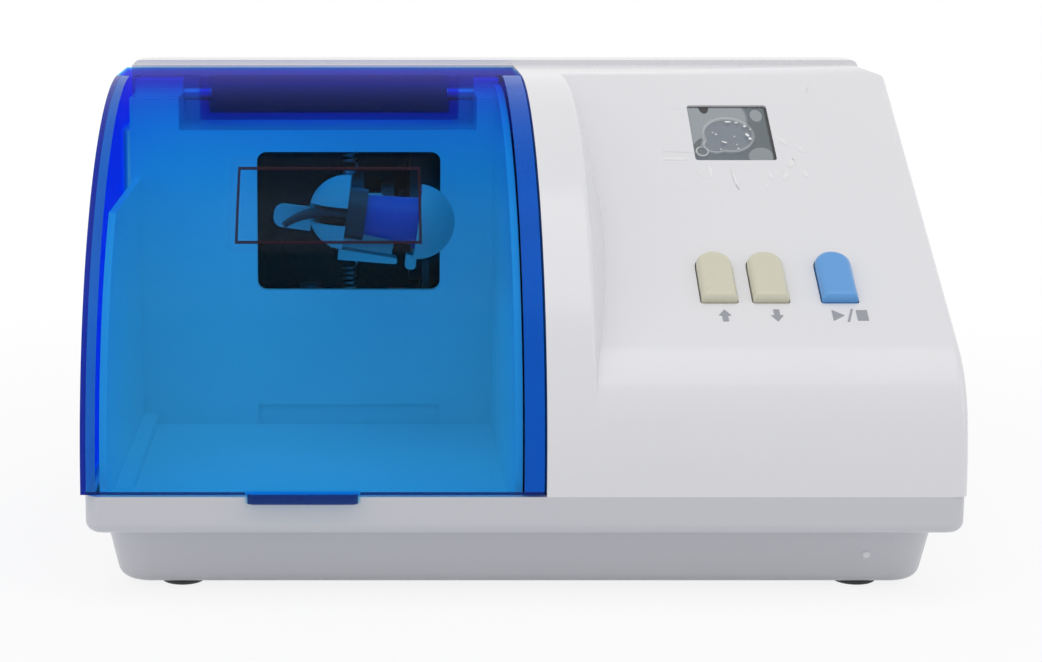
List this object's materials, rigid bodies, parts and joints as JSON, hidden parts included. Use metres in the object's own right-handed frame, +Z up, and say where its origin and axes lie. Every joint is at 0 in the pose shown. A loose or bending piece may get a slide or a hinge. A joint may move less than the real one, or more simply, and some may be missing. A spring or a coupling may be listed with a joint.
{
  "type": "dental amalgamator",
  "caption": "Bench mixer for dental capsules: curved blue hinged lid over a white chamber with a shaking capsule clip, beside a sloping panel with a display and keys.",
  "frame": {"origin": "middle of the footprint, on the bench", "axes": "+X to the user's right, +Y to the back, +Z up; the lid and keys face -Y"},
  "size_m": [0.2358, 0.184, 0.134],
  "materials": {
    "white_case": "glossy moulded ABS",
    "pale_case": "semi-gloss moulded ABS",
    "blue_lid": "clear tinted acrylic",
    "steel": "plain",
    "grey_print": "printed",
    "clear_window": "clear acrylic",
    "display": "liquid crystal cell",
    "circuit_board": "solder mask",
    "black_plastic": "moulded",
    "lamination": "varnished stack",
    "copper": "enamelled copper",
    "ferrite": "sintered",
    "motor_zinc": "zinc plated",
    "black_rubber": "moulded",
    "knob_red": "moulded",
    "clip_mint": "moulded",
    "capsule_blue": "moulded",
    "capsule_red": "moulded",
    "key_cream": "moulded",
    "key_blue": "moulded"
  },
  "bodies": {
    "case": {"housing": "white_case", "mixing_chamber": "white_case", "rear_cover": "white_case", "base_tray": "pale_case", "hinge_pins": "steel", "board_screws": "steel", "transformer_screws": "steel", "motor_cradle": "steel", "motor_strap": "steel", "damper_screws": "steel", "foot_screws": "steel", "case_screws": "steel", "cover_screws": "steel", "upper_spring": "steel", "lower_spring": "steel", "motor_bearings": "steel", "key_icons": "grey_print", "display_window": "clear_window", "display_module": "display", "control_board": "circuit_board", "power_board": "circuit_board", "key_switches": "black_plastic", "board_parts": "black_plastic", "mains_inlet": "black_plastic", "fuse_holder": "black_plastic", "switch_frame": "black_plastic", "motor_end_cap": "black_plastic", "power_parts": "black_plastic", "transformer_core": "lamination", "transformer_winding": "copper", "motor_magnets": "ferrite", "motor_brushes": "ferrite", "motor_can": "motor_zinc", "rubber_dampers": "black_rubber", "rubber_feet": "black_rubber"},
    "lid": {"lid": "blue_lid"},
    "key_up": {"key_up": "key_cream"},
    "key_down": {"key_down": "key_cream"},
    "key_start": {"key_start": "key_blue"},
    "rotor": {"motor_shaft": "steel", "armature_core": "lamination", "armature_windings": "copper", "commutator": "copper", "motor_fan": "black_plastic", "wobble_journal": "steel", "wobble_inner_race": "steel", "wobble_balls": "steel", "balance_weight": "steel"},
    "arm": {"hub_ring": "steel", "mixing_arm": "clip_mint", "fixed_cup": "clip_mint", "capsule_body": "capsule_blue", "capsule_plunger": "capsule_blue", "capsule_collar": "capsule_red", "capsule_nozzle": "capsule_red"},
    "jaw": {"sliding_cup": "clip_mint"},
    "rocker": {"switch_rocker": "black_plastic"},
    "fuse": {"fuse_cap": "black_plastic"},
    "knob_left": {"transport_knob_left": "knob_red"},
    "knob_right": {"transport_knob_right": "knob_red"}
  },
  "joints": [
    {"name": "lid_hinge", "type": "hinge", "parent": "case", "child": "lid", "pos_m": [0, 0.0625, 0.124], "axis": [-1, 0, 0], "range_deg": [0, 90]},
    {"name": "key_up_press", "type": "slide", "parent": "case", "child": "key_up", "axis": [0, 0.5165, -0.8563], "range_m": [0, 0.001], "stiffness_N_per_m": 600, "springref_m": -0.001},
    {"name": "key_down_press", "type": "slide", "parent": "case", "child": "key_down", "axis": [0, 0.5165, -0.8563], "range_m": [0, 0.001], "stiffness_N_per_m": 600, "springref_m": -0.001},
    {"name": "key_start_press", "type": "slide", "parent": "case", "child": "key_start", "axis": [0, 0.5165, -0.8563], "range_m": [0, 0.001], "stiffness_N_per_m": 600, "springref_m": -0.001},
    {"name": "rotor_spin", "type": "hinge", "parent": "case", "child": "rotor", "pos_m": [0, 0.063, 0.085], "axis": [1, 0, 0], "continuous": true},
    {"name": "arm_swing", "type": "hinge", "parent": "case", "child": "arm", "pos_m": [-0.047, 0.063, 0.085], "axis": [0, 0, 1], "range_deg": [-6, 6], "stiffness_Nm_per_rad": 0.5},
    {"name": "clip_slide", "type": "slide", "parent": "arm", "child": "jaw", "axis": [0.9914, 0, -0.1305], "range_m": [0, 0.004], "stiffness_N_per_m": 500, "springref_m": -0.002},
    {"name": "rocker_tilt", "type": "hinge", "parent": "case", "child": "rocker", "pos_m": [0.06, 0.089, 0.082], "axis": [1, 0, 0], "range_deg": [0, 16]},
    {"name": "fuse_cap_turn", "type": "hinge", "parent": "case", "child": "fuse", "pos_m": [0.06, 0.089, 0.054], "axis": [0, 1, 0], "range_deg": [0, 90]},
    {"name": "knob_left_turn", "type": "hinge", "parent": "case", "child": "knob_left", "pos_m": [-0.032, 0.063, 0.01], "axis": [0, 0, 1], "range_deg": [0, 90]},
    {"name": "knob_right_turn", "type": "hinge", "parent": "case", "child": "knob_right", "pos_m": [0.014, 0.063, 0.01], "axis": [0, 0, 1], "range_deg": [0, 90]}
  ]
}
